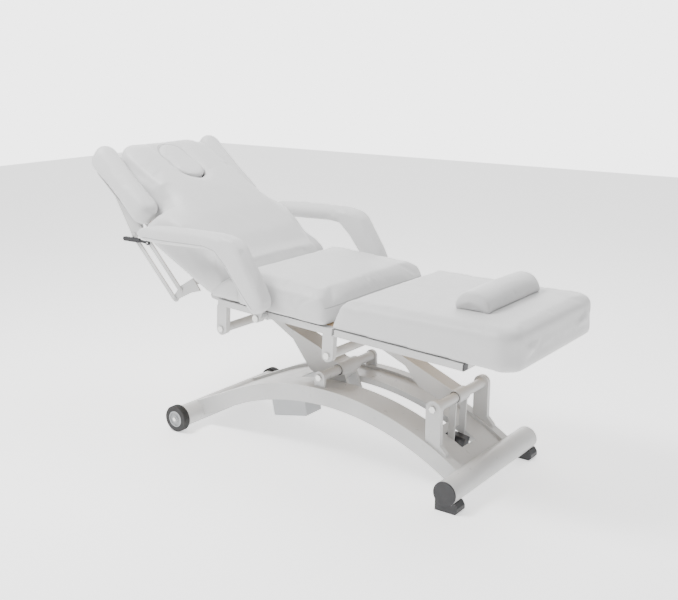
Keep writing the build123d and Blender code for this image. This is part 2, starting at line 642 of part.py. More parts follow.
SEAT_TUBE_HALF = RAIL_OUT - LUG_PLATE
with BuildPart() as seat_cross_tubes:
    for centre in (C_UW, D_UW):
        rod(HIGH_TUBE_R, -SEAT_TUBE_HALF, SEAT_TUBE_HALF, centre, seat_plane)
        bore(BOLT_R + FIT, -SEAT_TUBE_HALF - 1, SEAT_TUBE_HALF + 1, centre, seat_plane)
save(seat_cross_tubes, "seat_cross_tubes")

REST_BOSS_IN = 357.0
REST_BOSS_OUT = 388.0
with BuildPart() as seat_bolts:
    hex_bolt(C_UW, RAIL_OUT, SEAT_TUBE_HALF - SHANK_IN, plane=seat_plane)
    hex_bolt(D_UW, RAIL_OUT, SEAT_TUBE_HALF - SHANK_IN, plane=seat_plane)
    # pivot pins of the arm rests
    rod(BOLT_R, RAIL_IN + 5, REST_BOSS_OUT + 0.5, REST_UW, seat_plane)
    rod(BOLT_HEAD_R, REST_BOSS_OUT + 0.5, REST_BOSS_OUT + 6, REST_UW, seat_plane)
    mirror(about=Plane.XZ)
save(seat_bolts, "seat_bolts")

with BuildPart() as seat_board:
    slab([(10, BAR_TOP), (485, BAR_TOP), (485, RAIL_TOP), (10, RAIL_TOP)],
         -EAR_IN + 2, EAR_IN - 2, seat_plane)
save(seat_board, "seat_board")

SEAT_SOFT = 20.0
SEAT_EDGE_TOP = 226.0
with BuildPart() as seat_cushion:
    cushion([(-60, CUSHION_LOW), (SEAT_FRONT, CUSHION_LOW), (SEAT_FRONT, 180), (468, 222),
             (-60, SEAT_EDGE_TOP)], CUSHION_HALF, SEAT_SOFT, seat_plane)
    bore(BARREL_R + BARREL_GAP, -CUSHION_HALF - 1, CUSHION_HALF + 1, HINGE_UW, seat_plane)
    fillet(seat_cushion.faces().sort_by(Axis.Y)[-1].edges(), 16.0)
    fillet(seat_cushion.faces().sort_by(Axis.Y)[0].edges(), 16.0)
save(seat_cushion, "seat_cushion")

# ---------------------------------------------------------------- leg rest
LEG_PIN_UW = (514.0, 50.0)
with BuildPart() as leg_frame:
    rail(LEG_RAIL_START, LEG_RAIL_END)
    slab([(LEG_HINGE_U, RAIL_LOW), (LEG_RAIL_START + 40, RAIL_LOW), (LEG_RAIL_START + 40, RAIL_TOP),
          (LEG_HINGE_U, RAIL_TOP)], EAR_IN, EAR_OUT, seat_plane)
    rod((RAIL_TOP - RAIL_LOW) / 2, EAR_IN, EAR_OUT, LEG_UW, seat_plane)
    slab([(LEG_RAIL_START + 10, RAIL_LOW), (LEG_RAIL_START + 40, RAIL_LOW),
          (LEG_RAIL_START + 40, RAIL_TOP), (LEG_RAIL_START + 10, RAIL_TOP)], EAR_OUT, RAIL_IN, seat_plane)
    rod(PIN_R, EAR_OUT, RAIL_OUT, LEG_UW, seat_plane)
    slab([(LEG_RAIL_END - CAP_PLUG, RAIL_LOW + RAIL_WALL), (LEG_RAIL_END + 1, RAIL_LOW + RAIL_WALL),
          (LEG_RAIL_END + 1, RAIL_TOP - RAIL_WALL), (LEG_RAIL_END - CAP_PLUG, RAIL_TOP - RAIL_WALL)],
         RAIL_IN + RAIL_WALL, RAIL_OUT - RAIL_WALL, seat_plane, Mode.SUBTRACT)
    mirror(about=Plane.XZ)
    cross_bar(560, 585)
    cross_bar(800, 825)
    cross_bar(1010, 1035)
    for side in (-1, 1):
        y_from = LEG_MOTOR_Y + min(side * CHEEK_IN, side * CHEEK_OUT)
        y_to = LEG_MOTOR_Y + max(side * CHEEK_IN, side * CHEEK_OUT)
        slab([(LEG_PIN_UW[0] - 10, LEG_PIN_UW[1] + 10), (LEG_PIN_UW[0] + 4, LEG_PIN_UW[1] - 11),
              (575, 79), (575, 100), (560, 100)], y_from, y_to, seat_plane)
        rod(12, y_from, y_to, LEG_PIN_UW, seat_plane)
        slotted(LEG_PIN_UW, LEG_UW, 2.0, 1.0, y_from - 1, y_to + 1, seat_plane)
save(leg_frame, "leg_frame")

with BuildPart() as leg_rail_plugs:
    slab([(LEG_RAIL_END, RAIL_LOW), (LEG_RAIL_END + 4, RAIL_LOW), (LEG_RAIL_END + 4, RAIL_TOP),
          (LEG_RAIL_END, RAIL_TOP)], RAIL_IN, RAIL_OUT, seat_plane)
    slab([(LEG_RAIL_END - CAP_PLUG, RAIL_LOW + RAIL_WALL), (LEG_RAIL_END, RAIL_LOW + RAIL_WALL),
          (LEG_RAIL_END, RAIL_TOP - RAIL_WALL), (LEG_RAIL_END - CAP_PLUG, RAIL_TOP - RAIL_WALL)],
         RAIL_IN + RAIL_WALL, RAIL_OUT - RAIL_WALL, seat_plane)
    mirror(about=Plane.XZ)
save(leg_rail_plugs, "leg_rail_plugs")

with BuildPart() as leg_board:
    slab([(545, BAR_TOP), (1040, BAR_TOP), (1040, RAIL_TOP), (545, RAIL_TOP)],
         -EAR_IN + 2, EAR_IN - 2, seat_plane)
save(leg_board, "leg_board")

LEG_CORNER = 75.0
leg_floor = Plane(origin=seat_point(0, CUSHION_LOW), x_dir=seat_plane(0).x_dir, z_dir=seat_plane(0).y_dir)
with BuildPart() as leg_cushion:
    with BuildSketch(leg_floor) as plan:
        with Locations(((512 + LEG_FOOT) / 2, 0)):
            Rectangle(LEG_FOOT - 512, 2 * CUSHION_HALF)
        fillet(plan.vertices().sort_by(Axis.X)[-2:], LEG_CORNER)
    extrude(amount=160)
    slab([(400, CUSHION_LOW - 1), (511.5, CUSHION_LOW - 1), (573, 290), (400, 290)],
         -CUSHION_HALF - 1, CUSHION_HALF + 1, seat_plane, Mode.SUBTRACT)
    slab([(400, 211), (LEG_FOOT + 50, 255.5), (LEG_FOOT + 50, 400), (400, 400)],
         -CUSHION_HALF - 1, CUSHION_HALF + 1, seat_plane, Mode.SUBTRACT)
    up = Axis((0, 0, 0), seat_plane(0).y_dir)
    soft_edges = leg_cushion.faces().sort_by(up)[-1].edges()
    fillet(soft_edges, 32.0)
save(leg_cushion, "leg_cushion")

# half-round bolster laid across the leg rest
BOLSTER_X = AXLE_X + 1275.0
BOLSTER_Z = 679.0
BOLSTER_R = 70.0
BOLSTER_Y = 15.0
BOLSTER_HALF = 200.0
with BuildPart() as bolster:
    with BuildSketch(side_plane(BOLSTER_Y)) as half_round:
        with Locations((BOLSTER_X, BOLSTER_Z)):
            Circle(BOLSTER_R)
            with Locations((0, -BOLSTER_R)):
                Rectangle(2 * BOLSTER_R, 2 * BOLSTER_R, mode=Mode.SUBTRACT)
        fillet(half_round.vertices(), 8.0)
    extrude(amount=BOLSTER_HALF, both=True)
    fillet(bolster.faces().sort_by(Axis.Y)[-1].edges(), 6.0)
    fillet(bolster.faces().sort_by(Axis.Y)[0].edges(), 6.0)
save(bolster, "bolster")

# ---------------------------------------------------------------- back rest
HEAD_SLOPE = 0.2267
HEAD_END = 770.0
BOARD_N = 3.0


def head_line(t, n):
    """A point on a line that follows the back and bends forward at the head."""
    return (t, n + HEAD_SLOPE * max(0.0, t - BEND_T))


BACK_CRANK_TN = back_tn(Vector(BACK_HINGE.X + 10, 0, BACK_HINGE.Z - 70))
FRAME_IN = 215.0
FRAME_OUT = 240.0
FRAME_N = -22.0
with BuildPart() as back_frame:
    slab([(0, FRAME_N + 10), (14, FRAME_N), head_line(BEND_T, FRAME_N), head_line(600, FRAME_N),
          head_line(600, BOARD_N), head_line(BEND_T, BOARD_N), (0, BOARD_N)], FRAME_IN, FRAME_OUT, back_plane)
    # carrier of the side pads' linkage
    rod(9, FRAME_OUT - 5, PLATE_IN, (100, -12), back_plane)
    low = back_tn(LINK_LOW)
    high = back_tn(LINK_HIGH)
    slab([(62, -24), (118, -2), (high[0] + 14, high[1] + 6), (low[0] + 14, low[1] - 6),
          (low[0] - 6, low[1] - 14), (low[0] - 16, low[1] + 10), (100, -62)],
         PLATE_IN, PLATE_OUT, back_plane)
    for centre in (low, high):
        rod(14, PLATE_IN, PLATE_OUT, centre, back_plane)
        rod(PIN_R, PLATE_OUT, LINK_OUT + 2, centre, back_plane)
    rod(12, FRAME_IN - 5, EAR_IN - 1, (0, 0), back_plane)
    rod(BACK_PIN_R, EAR_IN - 1, EAR_OUT, (0, 0), back_plane)
    mirror(about=Plane.XZ)
    rod(12, -FRAME_IN, FRAME_IN, (0, 0), back_plane)
    for t_from in (330.0, 570.0):
        slab([head_line(t_from, FRAME_N), head_line(t_from + 25, FRAME_N), head_line(t_from + 25, BOARD_N),
              head_line(t_from, BOARD_N)], -FRAME_IN, FRAME_IN, back_plane)
    for side in (-1, 1):
        y_from = BACK_MOTOR_Y + min(side * CHEEK_IN, side * CHEEK_OUT)
        y_to = BACK_MOTOR_Y + max(side * CHEEK_IN, side * CHEEK_OUT)
        slab([(-12, 0), (12, 0), (BACK_CRANK_TN[0] + 12, BACK_CRANK_TN[1]),
              (BACK_CRANK_TN[0] - 12, BACK_CRANK_TN[1])], y_from, y_to, back_plane)
        rod(21, y_from, y_to, BACK_CRANK_TN, back_plane)
        slotted(BACK_CRANK_TN, (0, 0), 1.0, 8.5, y_from - 1, y_to + 1, back_plane)
save(back_frame, "back_frame")

PLUG_T = 610.0
PLUG_LONG = 230.0
PLUG_WIDE = 138.0
PLUG_TILT = 1.2
PLUG_GAP = 0.6
plug_base = back_point(PLUG_T, 72.0)
plug_turn = radians(BACK_ANGLE + PLUG_TILT)
plug_plane = Plane(origin=(plug_base.X, 0, plug_base.Z), x_dir=(-cos(plug_turn), 0, sin(plug_turn)),
                   z_dir=(sin(plug_turn), 0, cos(plug_turn)))

with BuildPart() as back_board:
    slab([(18, BOARD_N), (385, BOARD_N), (385, BOARD_N + BOARD_T), (18, BOARD_N + BOARD_T)],
         -EAR_IN + 4, EAR_IN - 4, back_plane)
    slab([(380, BOARD_N), head_line(BEND_T, BOARD_N), head_line(HEAD_END - 8, BOARD_N),
          head_line(HEAD_END - 8, BOARD_N + BOARD_T), head_line(BEND_T, BOARD_N + BOARD_T),
          (380, BOARD_N + BOARD_T)], -HEAD_HALF + 12, HEAD_HALF - 12, back_plane)
    with BuildSketch(plug_plane.offset(-80)):
        SlotOverall(PLUG_LONG + 6, PLUG_WIDE + 6)
    extrude(amount=400, mode=Mode.SUBTRACT)
save(back_board, "back_board")

SOFT_N = BOARD_N + BOARD_T + 0.3
with BuildPart() as back_cushion:
    cushion([(-8, SOFT_N), (-50, 92), (-14, 118), (60, 131), (150, 156), (250, 170), (335, 152),
             (BEND_T, 122), (BEND_T + 2, 60), (BEND_T - 12, SOFT_N)], BACK_HALF, 9.0, back_plane)
    fillet(back_cushion.faces().sort_by(Axis.Y)[-1].edges(), 8.0)
    fillet(back_cushion.faces().sort_by(Axis.Y)[0].edges(), 8.0)
    cushion([(-8, SOFT_N), (-70.5, 130), (-48, 140), (-10, 149), (22, 147), (110, 172), (250, 192),
             (400, 201), (600, 205.5),
             (735, 212), (772, 200), head_line(HEAD_END + 6, 30), head_line(HEAD_END - 8, SOFT_N),
             head_line(BEND_T, SOFT_N)], HEAD_HALF, 7.0, back_plane)
    with BuildSketch(plug_plane.offset(-80)):
        SlotOverall(PLUG_LONG + 2 * PLUG_GAP, PLUG_WIDE + 2 * PLUG_GAP)
    extrude(amount=400, mode=Mode.SUBTRACT)
save(back_cushion, "back_cushion")

with BuildPart() as face_plug:
    with BuildSketch(plug_plane):
        SlotOverall(PLUG_LONG, PLUG_WIDE)
    extrude(amount=136)
    fillet(face_plug.edges(), 5.0)
save(face_plug, "face_plug")

# ---------------------------------------------------------------- side head pads
PAD_CENTRE = back_point(593.8, 128.1)
pad_turn = radians(PAD_ANGLE)
pad_along = (-cos(pad_turn), 0, sin(pad_turn))
pad_out = (sin(pad_turn), 0, cos(pad_turn))
STRIP_FRONT = -PAD_T / 2 - 0.2    # the metal strip each side pad is screwed to
STRIP_REAR = -PAD_T / 2 - 4.0
LOW_PIN = LINK_LOW + LINK_REACH
HIGH_PIN = LINK_HIGH + LINK_REACH
LEVER_IN = 313.5
LEVER_OUT = 321.5
LEVER_AT = 0.74
LEVER_PIVOT = LINK_HIGH + LINK_REACH * LEVER_AT


def pad_xz(along, out):
    """A point measured from the middle of a side pad, along it and out of its front."""
    return (PAD_CENTRE.X - along * cos(pad_turn) + out * sin(pad_turn),
            PAD_CENTRE.Z + along * sin(pad_turn) + out * cos(pad_turn))


for side, label in ((1, "left"), (-1, "right")):
    def sided(y_inner, y_outer):
        """Distances from the middle on the side in hand, in rising order."""
        return (min(side * y_inner, side * y_outer), max(side * y_inner, side * y_outer))

    with BuildPart() as link_lower:
        bar(at(LINK_LOW), at(LOW_PIN), 9.0, *sided(LINK_IN, LINK_OUT))
        bore(PIN_R + RUN, *sided(LINK_IN - 1, LINK_OUT + 1), at(LINK_LOW))
        bore(PIN_R + RUN, *sided(LINK_IN - 1, LINK_OUT + 1), at(LOW_PIN))
    save(link_lower, f"pad_link_lower_{label}")

    with BuildPart() as link_upper:
        bar(at(LINK_HIGH), at(HIGH_PIN), 9.0, *sided(LINK_IN, LINK_OUT))
        bore(PIN_R + RUN, *sided(LINK_IN - 1, LINK_OUT + 1), at(LINK_HIGH))
        bore(PIN_R + 0.3, *sided(LINK_IN - 1, LINK_OUT + 1), at(HIGH_PIN))
        rod(4.0, *sided(LINK_OUT, LEVER_OUT + 1), at(LEVER_PIVOT))
    save(link_upper, f"pad_link_upper_{label}")

    with BuildPart() as pad_bracket:
        slab([at(LOW_PIN + Vector(-12, 0, -8)), at(LOW_PIN + Vector(8, 0, -14)),
              at(HIGH_PIN + Vector(14, 0, 0)), pad_xz(-110, STRIP_REAR), pad_xz(60, STRIP_REAR),
              pad_xz(60, STRIP_REAR - 12)],
             *sided(PLATE_IN, PLATE_OUT))
        for centre in (at(LOW_PIN), at(HIGH_PIN)):
            rod(14, *sided(PLATE_IN, PLATE_OUT), centre)
            rod(PIN_R, *sided(PLATE_OUT, LINK_OUT + 2), centre)
        slab([pad_xz(-120, STRIP_REAR), pad_xz(120, STRIP_REAR), pad_xz(120, STRIP_FRONT),
              pad_xz(-120, STRIP_FRONT)],
             *sided(PAD_IN + 20, PAD_OUT - 20))
    save(pad_bracket, f"pad_bracket_{label}")

    with BuildPart() as side_pad:
        middle_y = side * (PAD_IN + PAD_OUT) / 2
        with BuildSketch(Plane(origin=(PAD_CENTRE.X, middle_y, PAD_CENTRE.Z), x_dir=pad_along,
                               z_dir=pad_out)):
            SlotOverall(PAD_LENGTH, PAD_OUT - PAD_IN)
        extrude(amount=PAD_T / 2, both=True)
        fillet(side_pad.faces().sort_by(Axis((0, 0, 0), pad_out))[-1].edges(), 34.0)
        fillet(side_pad.faces().sort_by(Axis((0, 0, 0), pad_out))[0].edges(), 26.0)
    save(side_pad, f"side_pad_{label}")

    with BuildPart() as lever:
        grip_end = (LEVER_PIVOT.X - 132, LEVER_PIVOT.Z + 4)
        grip_start = (LEVER_PIVOT.X - 52, LEVER_PIVOT.Z + 4)
        bar(at(LEVER_PIVOT), grip_start, 5.0, *sided(LEVER_IN, LEVER_OUT - 2))
        bar(grip_start, grip_end, 8.5, *sided(LEVER_IN - 2, LEVER_OUT))
        rod(9.0, *sided(LEVER_IN, LEVER_OUT), at(LEVER_PIVOT))
        bore(4.0 + RUN, *sided(LEVER_IN - 3, LEVER_OUT + 1), at(LEVER_PIVOT))
    save(lever, f"release_lever_{label}")

# ---------------------------------------------------------------- arm rests
TONGUE_IN = 380.0
REST_TONGUE = [base_at(495, 588), base_at(519, 618), base_at(484, 678), base_at(506, 690),
               base_at(541, 628), base_at(521, 575)]
for side, label in ((1, "left"), (-1, "right")):
    with BuildPart() as armrest_frame:
        slab(REST_TONGUE, *sorted((side * TONGUE_IN, side * REST_BOSS_OUT)))
        rod(16, *sorted((side * REST_BOSS_IN, side * REST_BOSS_OUT)), at(REST_PIVOT))
        bore(BOLT_R + RUN, *sorted((side * (REST_BOSS_IN - 1), side * (REST_BOSS_OUT + 1))), at(REST_PIVOT))
    save(armrest_frame, f"armrest_frame_{label}")

    with BuildPart() as armrest_pad:
        slab([base_at(563, 624), base_at(569, 654), base_at(541, 716), base_at(503, 776),
              base_at(478, 812), base_at(455, 842), base_at(425, 863), base_at(380, 873),
              base_at(200, 874), base_at(60, 872), base_at(-20, 868), base_at(-62, 856),
              base_at(-78, 838), base_at(-62, 820), base_at(-20, 811), base_at(60, 808),
              base_at(270, 812), base_at(330, 802), base_at(378, 758), base_at(446, 672),
              base_at(504, 608), base_at(530, 600)], *sorted((side * REST_IN, side * REST_OUT)))
        fillet(armrest_pad.faces().sort_by(Axis.Y)[-1].edges(), 14.0)
        fillet(armrest_pad.faces().sort_by(Axis.Y)[0].edges(), 14.0)
        slab(REST_TONGUE, *sorted((side * (TONGUE_IN - 0.2), side * (REST_BOSS_OUT + 0.2))),
             mode=Mode.SUBTRACT)
    save(armrest_pad, f"armrest_pad_{label}")

# ---------------------------------------------------------------- motors
ROD_R = 9.0
ROD_START = 90.0
ROD_HEAD_GAP = 95.0              # bare rod between the motor's tube and the cross pin


def motor_pair(trunnion, pin, middle_y, pins_to, cheek_to, tube_r, tail, label):
    """A linear motor held by its trunnion pins, and its rod with a cross pin in a slotted crank."""
    length = (pin - trunnion).length
    aim = (pin - trunnion).normalized()
    motor_plane = Plane(origin=(trunnion.X, middle_y, trunnion.Z), x_dir=(0, 1, 0),
                        z_dir=(aim.X, 0, aim.Z))
    tube_length = length - ROD_HEAD_GAP
    with BuildPart() as motor:
        with BuildSketch(motor_plane.offset(-20)):
            Circle(tube_r)
        extrude(amount=tube_length + 20)
        with BuildSketch(motor_plane.offset(-tail)):
            RectangleRounded(2 * tube_r, 2 * tube_r, 5)
        extrude(amount=tail + 14)
        rod(MOTOR_PIN_R, middle_y - pins_to, middle_y + pins_to, at(trunnion))
        with BuildSketch(motor_plane.offset(30)):
            Circle(ROD_R + 0.3)
        extrude(amount=length, mode=Mode.SUBTRACT)
    save(motor, f"{label}_motor")
    with BuildPart() as plunger:
        with BuildSketch(motor_plane.offset(ROD_START)):
            Circle(ROD_R)
        extrude(amount=length - ROD_START - 4)
        rod(11, middle_y - 10, middle_y + 10, at(pin))
        rod(MOTOR_PIN_R, middle_y - cheek_to, middle_y + cheek_to, at(pin))
    save(plunger, f"{label}_motor_rod")


motor_pair(LIFT_TRUNNION, LIFT_PIN, 0.0, HANGER_OUT, ARM_HALF - 0.5, 20.0, 44.0, "lift")
motor_pair(seat_point(*BACK_TRUNNION_UW), BACK_HINGE + Vector(10, 0, -70), BACK_MOTOR_Y, TRUNNION_OUT,
           CHEEK_OUT + 2, 20.0, 40.0, "back")
motor_pair(seat_point(*LEG_TRUNNION_UW), seat_point(*LEG_PIN_UW), LEG_MOTOR_Y, TRUNNION_OUT,
           CHEEK_OUT + 2, 18.0, 40.0, "leg")
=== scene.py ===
import json
from math import cos, radians, sin

import bmesh
import bpy
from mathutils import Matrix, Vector
from mathutils.bvhtree import BVHTree


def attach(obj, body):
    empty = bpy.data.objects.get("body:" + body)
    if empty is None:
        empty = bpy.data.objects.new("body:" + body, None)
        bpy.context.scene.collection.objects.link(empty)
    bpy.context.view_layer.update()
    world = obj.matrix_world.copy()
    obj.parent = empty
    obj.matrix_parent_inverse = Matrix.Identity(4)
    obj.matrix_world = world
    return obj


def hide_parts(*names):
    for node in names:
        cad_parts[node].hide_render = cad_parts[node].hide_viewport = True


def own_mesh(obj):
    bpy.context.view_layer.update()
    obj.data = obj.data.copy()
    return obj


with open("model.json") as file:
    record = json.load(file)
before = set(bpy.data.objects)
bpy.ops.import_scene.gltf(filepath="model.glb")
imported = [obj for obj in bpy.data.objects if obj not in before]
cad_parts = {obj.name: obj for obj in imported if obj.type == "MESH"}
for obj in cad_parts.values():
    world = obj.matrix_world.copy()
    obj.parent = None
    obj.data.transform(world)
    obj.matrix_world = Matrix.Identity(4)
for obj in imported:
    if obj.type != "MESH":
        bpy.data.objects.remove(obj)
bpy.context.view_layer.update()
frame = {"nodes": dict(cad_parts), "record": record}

NODES = frame["nodes"]

# ---------------------------------------------------------------- shared sizes, in metres
AXLE_X = -0.55028                # rear wheel axle; lengths along the base are from here
TILT = radians(3.2)              # the upper frame's nose-down tilt
SEAT_ORIGIN = Vector((AXLE_X + 0.280, 0.0, 0.489))
CUSHION_LOW = 0.1153             # underside of the seat and leg cushions above that origin
CUSHION_HALF = 0.341
BACK_TURN = radians(28.2)
BACK_ORIGIN = Vector((AXLE_X + 0.215, 0.0, 0.606))
BACK_LOW = 0.015                 # rear face of the back cushion
OUTSIDE = 0.6                    # beyond every surface: where rays for seams start
OVERHEAD = 0.4


def base_at(x, z, y=0.0):
    """A point measured along the base from the rear axle."""
    return Vector((AXLE_X + x, y, z))


def seat_at(u, w, y=0.0):
    """A point on the upper frame's own axes."""
    return SEAT_ORIGIN + Vector((u * cos(TILT) + w * sin(TILT), y, -u * sin(TILT) + w * cos(TILT)))


def back_at(t, n, y=0.0):
    """A point on the back rest's own axes."""
    return BACK_ORIGIN + Vector((-t * cos(BACK_TURN) + n * sin(BACK_TURN), y,
                                 t * sin(BACK_TURN) + n * cos(BACK_TURN)))


SEAT_ALONG = (seat_at(1, 0) - seat_at(0, 0)).normalized()
SEAT_UP = (seat_at(0, 1) - seat_at(0, 0)).normalized()
BACK_ALONG = (back_at(1, 0) - back_at(0, 0)).normalized()
BACK_UP = (back_at(0, 1) - back_at(0, 0)).normalized()

# ---------------------------------------------------------------- camera
CAMERA_AT = Vector((2.27289, -3.07148, 1.550))
CAMERA_TURN = (radians(90 - 14.31), 0.0, radians(35.93))
CAMERA_LENS = 53.47
CAMERA_SENSOR = 36.0
CAMERA_REACH = 60.0
camera_data = bpy.data.cameras.new("camera")
camera = bpy.data.objects.new("camera", camera_data)
bpy.context.scene.collection.objects.link(camera)
camera.location = CAMERA_AT
camera.rotation_euler = CAMERA_TURN
camera_data.sensor_width = CAMERA_SENSOR
camera_data.lens = CAMERA_LENS
camera_data.clip_end = CAMERA_REACH
bpy.context.scene.camera = camera


# ---------------------------------------------------------------- materials
def new_material(name, color, rough, metal=0.0):
    """A node material with its shader ready for detail."""
    material = bpy.data.materials.new(name)
    material.use_nodes = True
    tree = material.node_tree
    shader = tree.nodes["Principled BSDF"]
    shader.inputs["Base Color"].default_value = (*color, 1.0)
    shader.inputs["Roughness"].default_value = rough
    shader.inputs["Metallic"].default_value = metal
    return material, tree, shader


def texture(tree, kind, scale, **settings):
    """A texture node read in object coordinates."""
    place = tree.nodes.new("ShaderNodeTexCoord")
    node = tree.nodes.new(kind)
    node.inputs["Scale"].default_value = scale
    for key, value in settings.items():
        node.inputs[key].default_value = value
    tree.links.new(place.outputs["Object"], node.inputs["Vector"])
    return node


def ramp(tree, source, low, high, out_low, out_high):
    """Maps a texture onto a narrow range of grey or colour."""
    node = tree.nodes.new("ShaderNodeValToRGB")
    node.color_ramp.elements[0].position = low
    node.color_ramp.elements[1].position = high
    node.color_ramp.elements[0].color = (*out_low, 1.0)
    node.color_ramp.elements[1].color = (*out_high, 1.0)
    tree.links.new(source, node.inputs["Fac"])
    return node


def grey(value):
    """A neutral colour."""
    return (value, value, value)


def darker(color, share):
    """The same colour with a share of its brightness."""
    return [c * share for c in color]


def bump(tree, shader, source, strength, distance, under=None):
    """Adds a bump from a texture, on top of another bump if there is one."""
    node = tree.nodes.new("ShaderNodeBump")
    node.inputs["Strength"].default_value = strength
    node.inputs["Distance"].default_value = distance
    tree.links.new(source, node.inputs["Height"])
    if under:
        tree.links.new(under.outputs["Normal"], node.inputs["Normal"])
    tree.links.new(node.outputs["Normal"], shader.inputs["Normal"])
    return node


LEATHER_SHEEN = 0.08
LEATHER_SPECULAR = 0.38
GRAIN_PER_METRE = 520.0
GRAIN_DEPTH = 0.0008
WAVE_DEPTH = 0.02


def leather_material(name, color):
    """Soft matt synthetic leather: pebbled grain, slow waves and a slightly uneven sheen."""
    material, tree, shader = new_material(name, color, rough=0.46)
    shader.inputs["Sheen Weight"].default_value = LEATHER_SHEEN
    shader.inputs["Specular IOR Level"].default_value = LEATHER_SPECULAR
    tone = texture(tree, "ShaderNodeTexNoise", scale=5.0, Detail=4.0)
    tint = ramp(tree, tone.outputs["Fac"], 0.3, 0.7, darker(color, 0.965), color)
    tree.links.new(tint.outputs["Color"], shader.inputs["Base Color"])
    gloss = texture(tree, "ShaderNodeTexNoise", scale=18.0, Detail=5.0)
    sheen = ramp(tree, gloss.outputs["Fac"], 0.3, 0.7, grey(0.40), grey(0.54))
    tree.links.new(sheen.outputs["Color"], shader.inputs["Roughness"])
    waves = texture(tree, "ShaderNodeTexNoise", scale=9.0, Detail=2.0)
    slow = bump(tree, shader, waves.outputs["Fac"], strength=0.22, distance=WAVE_DEPTH)
    grain = texture(tree, "ShaderNodeTexVoronoi", scale=GRAIN_PER_METRE)
    bump(tree, shader, grain.outputs["Distance"], strength=0.16, distance=GRAIN_DEPTH, under=slow)
    return material


PEEL_DEPTH = 0.0010


def coated_material(name, color, rough, peel):
    """A coated or moulded surface with fine orange peel and faint handling marks."""
    material, tree, shader = new_material(name, color, rough)
    tone = texture(tree, "ShaderNodeTexNoise", scale=7.0, Detail=5.0)
    tint = ramp(tree, tone.outputs["Fac"], 0.35, 0.72, darker(color, 0.95), color)
    tree.links.new(tint.outputs["Color"], shader.inputs["Base Color"])
    marks = texture(tree, "ShaderNodeTexNoise", scale=34.0, Detail=6.0)
    worn = ramp(tree, marks.outputs["Fac"], 0.3, 0.75, grey(rough - 0.07), grey(rough + 0.12))
    tree.links.new(worn.outputs["Color"], shader.inputs["Roughness"])
    skin = texture(tree, "ShaderNodeTexNoise", scale=peel, Detail=2.0)
    bump(tree, shader, skin.outputs["Fac"], strength=0.10, distance=PEEL_DEPTH)
    return material


STREAK_DEPTH = 0.0006


def metal_material(name, color, rough, stretch):
    """Bare plated steel with fine uneven polish."""
    material, tree, shader = new_material(name, color, rough, metal=1.0)
    streak = texture(tree, "ShaderNodeTexNoise", scale=stretch, Detail=6.0)
    worn = ramp(tree, streak.outputs["Fac"], 0.3, 0.7, grey(rough - 0.08), grey(rough + 0.14))
    tree.links.new(worn.outputs["Color"], shader.inputs["Roughness"])
    bump(tree, shader, streak.outputs["Fac"], strength=0.12, distance=STREAK_DEPTH)
    return material


BIRCH = (0.62, 0.47, 0.31)
BIRCH_DARK = (0.50, 0.36, 0.22)
BIRCH_PALE = (0.68, 0.53, 0.36)
FIGURE_DEPTH = 0.001


def plywood_material():
    """Birch board with long soft figure."""
    material, tree, shader = new_material("plywood", BIRCH, rough=0.6)
    figure = texture(tree, "ShaderNodeTexWave", scale=6.0, Distortion=7.0, Detail=3.0)
    tint = ramp(tree, figure.outputs["Fac"], 0.1, 0.9, BIRCH_DARK, BIRCH_PALE)
    tree.links.new(tint.outputs["Color"], shader.inputs["Base Color"])
    bump(tree, shader, figure.outputs["Fac"], strength=0.1, distance=FIGURE_DEPTH)
    return material


LEATHER = leather_material("white leather", (0.62, 0.62, 0.62))
# painted shade: the seams and piping are dark grey to stand in for the shade in their grooves on the
# white leather
PAINTED_GROOVE_SHADE = leather_material("seam painted groove shade", (0.36, 0.36, 0.365))
FINISH = {
    "leather": LEATHER,
    "steel": coated_material("white powder coat", (0.55, 0.55, 0.545), rough=0.34, peel=620.0),
    "grey_plastic": coated_material("grey plastic", (0.42, 0.43, 0.44), rough=0.45, peel=900.0),
    "black_plastic": coated_material("black plastic", (0.018, 0.018, 0.020), rough=0.46, peel=700.0),
    "bush": coated_material("black nylon", (0.015, 0.015, 0.016), rough=0.50, peel=800.0),
    "tyre": coated_material("black rubber", (0.022, 0.022, 0.022), rough=0.68, peel=500.0),
    "hub": coated_material("grey hub", (0.34, 0.35, 0.36), rough=0.38, peel=700.0),
    "zinc": metal_material("zinc", (0.70, 0.70, 0.68), rough=0.33, stretch=240.0),
    "rod_steel": metal_material("bright steel", (0.78, 0.78, 0.78), rough=0.16, stretch=380.0),
    "plywood": plywood_material(),
}
slots = {part["node"]: part["material_slot"] for part in frame["record"]["subparts"]}
for name, node in NODES.items():
    node.data.materials.clear()
    node.data.materials.append(FINISH[slots[name]])


# ---------------------------------------------------------------- soft goods
def shade_smooth(mesh):
    """Shades every face as part of one curved skin."""
    for face in mesh.polygons:
        face.use_smooth = True


def apply_modifiers(obj):
    """Bakes the object's modifiers into its mesh."""
    graph = bpy.context.evaluated_depsgraph_get()
    baked = bpy.data.meshes.new_from_object(obj.evaluated_get(graph))
    obj.modifiers.clear()
    obj.data = baked


def new_object(name, data):
    """An object in the scene that shows the given mesh or curve."""
    obj = bpy.data.objects.new(name, data)
    bpy.context.scene.collection.objects.link(obj)
    return obj


SMOOTH_STEP = 0.5


def soften(obj, voxel, rounds):
    """Closes the surface into an even skin and rounds its edges like foam under leather."""
    remesh = obj.modifiers.new("skin", "REMESH")
    remesh.mode = "VOXEL"
    remesh.voxel_size = voxel
    smooth = obj.modifiers.new("round", "SMOOTH")
    smooth.factor = SMOOTH_STEP
    smooth.iterations = rounds
    apply_modifiers(obj)


